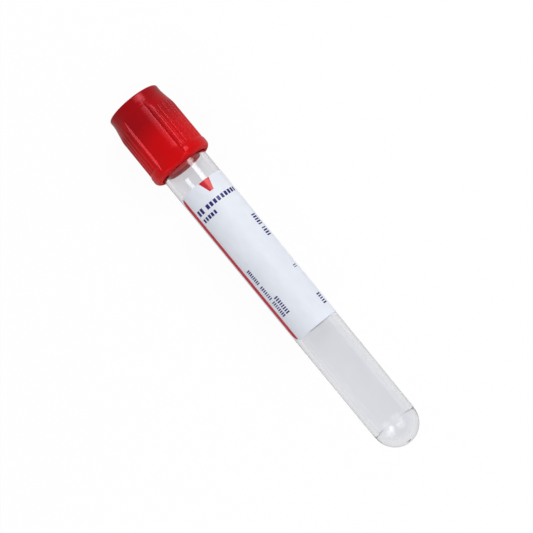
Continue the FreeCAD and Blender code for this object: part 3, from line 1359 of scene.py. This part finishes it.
    def build(
        self,
        lie: Lie,
        tube: Tube,
        stock: bpy.types.Material,
        red: bpy.types.Material,
        navy: bpy.types.Material,
    ) -> list[bpy.types.Object]:
        """Make the label and its print.

        Args:
            lie: Where it lies.
            tube: The tube that carries it.
            stock: Finish of the sheet.
            red: Red ink.
            navy: Navy ink.

        Returns:
            The sheet, then the printed pieces, in the model's frame.
        """
        wrapping = self.wrapping(tube)
        film, rows = self.film_tree(wrapping, False), self.film_tree(wrapping, True)
        sunk = self.ink / 2
        on_tube = {"Lift": self.glue, "Thickness": self.thickness}
        on_sheet = {"Lift": self.glue + self.thickness - sunk, "Thickness": self.ink + sunk}
        middles, sizes = self.strokes()
        made = []
        for name, shape, tree, place, finish in (
            ("label_sheet", self.sheet(), film, on_tube, stock),
            ("label_edge_line", self.edge_line(), film, on_sheet, red),
            ("label_fill_mark", self.fill_mark(), film, on_sheet, red),
            ("label_print", (middles, []), rows, on_sheet, navy),
        ):
            thing = make_object(name, *shape)
            if tree is rows:
                attribute = thing.data.attributes.new("stroke_size", "FLOAT_VECTOR", "POINT")
                attribute.data.foreach_set("vector", [c for size in sizes for c in size])
            apply_tree(thing, tree, {**place, "Finish": finish})
            tidy_mesh(thing, crease=30.0)
            lie.settle(thing)
            made.append(thing)
        return made


# Studio --------------------------------------------------------------------------------------------


@dataclass
class Camera:
    """Camera over the tube, turned so that the closure is at the upper left."""

    stand: Stand = Stand(10.0, 4.5, 0.366)
    lens: float = 97.94
    aim_height: float = 56.78
    up_along: float = 0.7731
    up_across: float = 0.6343

    def build(self, lie: Lie) -> None:
        """Make the camera and look through it.

        Args:
            lie: Where the tube lies.
        """
        data = bpy.data.cameras.new("camera")
        data.lens = self.lens
        data.sensor_width = 36.0
        data.clip_start, data.clip_end = 0.01, 20.0
        camera = bpy.data.objects.new("camera", data)
        camera.matrix_world = lie.facing(self.stand, self.aim_height, self.up_along, self.up_across)
        bpy.context.scene.collection.objects.link(camera)
        bpy.context.scene.camera = camera


@dataclass(frozen=True)
class SoftBox:
    """A rectangular lamp, set round the tube's axis and turned to face it."""

    name: str
    stand: Stand
    along: float
    across: float
    radiance: float

    def build(self, lie: Lie, aim_height: float) -> None:
        """Make the lamp.

        Args:
            lie: Where the tube lies.
            aim_height: Height of the point that it faces.
        """
        data = bpy.data.lights.new(self.name, "AREA")
        data.shape = "RECTANGLE"
        data.size, data.size_y = self.along, self.across
        data.energy = self.radiance * math.pi * self.along * self.across
        lamp = bpy.data.objects.new(self.name, data)
        lamp.matrix_world = lie.facing(self.stand, aim_height, 0.0, -1.0)
        bpy.context.scene.collection.objects.link(lamp)


@dataclass
class Studio:
    """Plain pale floor, even daylight all round, and a bright narrow key among soft lamps."""

    ambient: float = 0.54
    floor_size: float = 4.0
    floor_colour: Colour = (0.93, 0.93, 0.935)
    floor_mottle: float = 0.985
    floor_shadow: float = 0.05
    floor_through: float = 0.75
    floor_gloss: float = 0.5
    floor_glow: float = 0.82
    lamps: tuple[SoftBox, ...] = (
        SoftBox("key", Stand(47.5, -19.0, 0.55), 0.3, 0.23, 4.3),
        SoftBox("key_edge", Stand(37.0, -20.5, 0.55), 0.1, 0.28, 2.5),
        SoftBox("front", Stand(30.0, 25.0, 0.55), 0.3, 0.4, 1.55),
        SoftBox("fill", Stand(-40.0, 25.0, 0.55), 0.3, 0.3, 1.9),
    )

    def world(self) -> None:
        """Even daylight on the pieces, in their reflections and through them, and white behind them."""
        world = bpy.data.worlds.new("studio")
        world.use_nodes = True
        tree = Tree(world.node_tree)
        path = tree.add("ShaderNodeLightPath").outputs
        level = Value(tree, path["Is Camera Ray"])
        for kind in ("Diffuse", "Glossy", "Transmission"):
            level = level.most(Value(tree, path[f"Is {kind} Ray"]) * self.ambient)
        tree.feed(world.node_tree.nodes["Background"], {"Color": (1, 1, 1, 1), "Strength": level})
        bpy.context.scene.world = world

    def floor_material(self) -> bpy.types.Material:
        """Finish that looks white, keeps a faint shadow, and is dimmer in reflections and through plastic."""
        material, tree, shader = Finish.start("floor")
        path = tree.add("ShaderNodeLightPath").outputs
        seen, through = Value(tree, path["Is Camera Ray"]), Value(tree, path["Is Transmission Ray"])
        mirrored = (Value(tree, path["Is Glossy Ray"]) - through).most(0.0)
        soft = tree.noise(tree.surface(), scale=6.0).ramp(0.3, 0.7)
        pale = tuple(c * self.floor_mottle for c in self.floor_colour)
        plain = tree.blend(soft, pale, self.floor_colour)
        tree.feed(shader, {
            "Base Color": tree.blend(mirrored * (1.0 - self.floor_gloss), plain, (0, 0, 0)),
            "Roughness": 0.9,
            "Specular IOR Level": 0.1,
        })
        glow = tree.add("ShaderNodeEmission", {"Strength": (through * self.floor_glow).most(seen)})
        glowing = (seen * (1.0 - self.floor_shadow)).most(through * self.floor_through)
        tree.show(glowing, shader, glow)
        return material

    def floor(self) -> None:
        """Lay the floor under the tube."""
        half = self.floor_size / 2
        corners = [Vector((sx * half, sy * half, 0)) for sx, sy in ((-1, -1), (1, -1), (1, 1), (-1, 1))]
        thing = make_object("floor", corners, [[0, 1, 2, 3]])
        thing.data.materials.append(self.floor_material())
        thing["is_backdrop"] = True

    def build(self, lie: Lie, aim_height: float) -> None:
        """Set up the floor, the surroundings and the lamps.

        Args:
            lie: Where the tube lies.
            aim_height: Height of the point that the lamps face.
        """
        self.world()
        self.floor()
        for lamp in self.lamps:
            lamp.build(lie, aim_height)
        bpy.context.scene.view_settings.view_transform = "Standard"


# ---------------------------------------------------------------------------------------------------


def main() -> None:
    """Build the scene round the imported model."""
    logging.basicConfig(level=logging.INFO, format="%(message)s")
    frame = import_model()
    tube, label, shield, camera = Tube(), Label(), Shield(), Camera()
    lie = Lie.from_joints(frame["joints"], tube.length)
    effects = Effects()

    camera.build(lie)
    Studio().build(lie, camera.aim_height)

    clear = tube.build(lie, ClearPlastic().material(effects))
    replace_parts(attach(clear, "tube"), "tube")

    stock, red, navy = (finish.material(effects) for finish in (LabelStock(), RED_INK, NAVY_INK))
    printed = label.build(lie, tube, stock, red, navy)
    for thing in printed:
        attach(thing, "tube")
    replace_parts(printed[0], "label")

    cap = shield.build(lie, ShieldPlastic().material(effects))
    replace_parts(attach(cap, "shield"), "shield")

    stopper = frame["nodes"]["stopper"]
    stopper.data.materials.clear()
    stopper.data.materials.append(StopperRubber().material(effects))

    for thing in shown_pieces():
        LOG.info("%s: %d faces", thing.name, len(thing.data.polygons))


if __name__ == "__main__":
    main()
